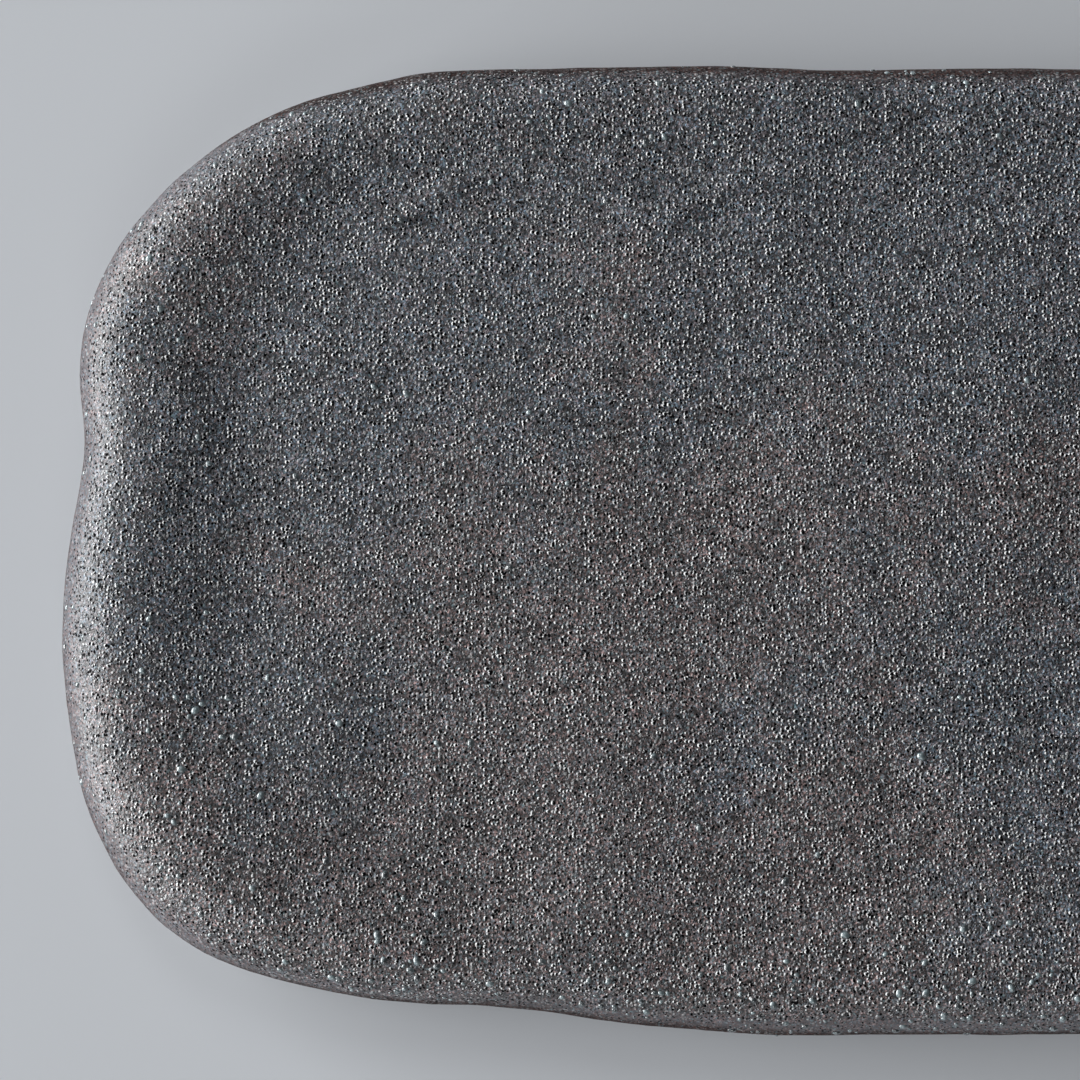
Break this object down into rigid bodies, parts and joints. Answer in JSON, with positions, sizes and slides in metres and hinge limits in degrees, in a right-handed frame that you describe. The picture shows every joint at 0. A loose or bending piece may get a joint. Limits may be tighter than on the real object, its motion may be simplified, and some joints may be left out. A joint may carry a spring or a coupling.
{
  "type": "slab plate",
  "caption": "Rounded rectangular stoneware slab plate with a soft wavy rim, a shallow dish and a flat foot to rest on; stone look, dark gritty glaze.",
  "frame": {"origin": "under the middle of the outline, on the plane of the foot", "axes": "+X along the long side, towards the end that the picture cuts off; +Y towards the long side that is uppermost in the picture; +Z out of the dish"},
  "size_m": [0.33, 0.19, 0.022],
  "materials": {
    "dark_glaze": "satin, gritty and pinholed, dark warm grey with cool patches"
  },
  "bodies": {
    "root": {"slab": "dark_glaze"}
  },
  "joints": []
}
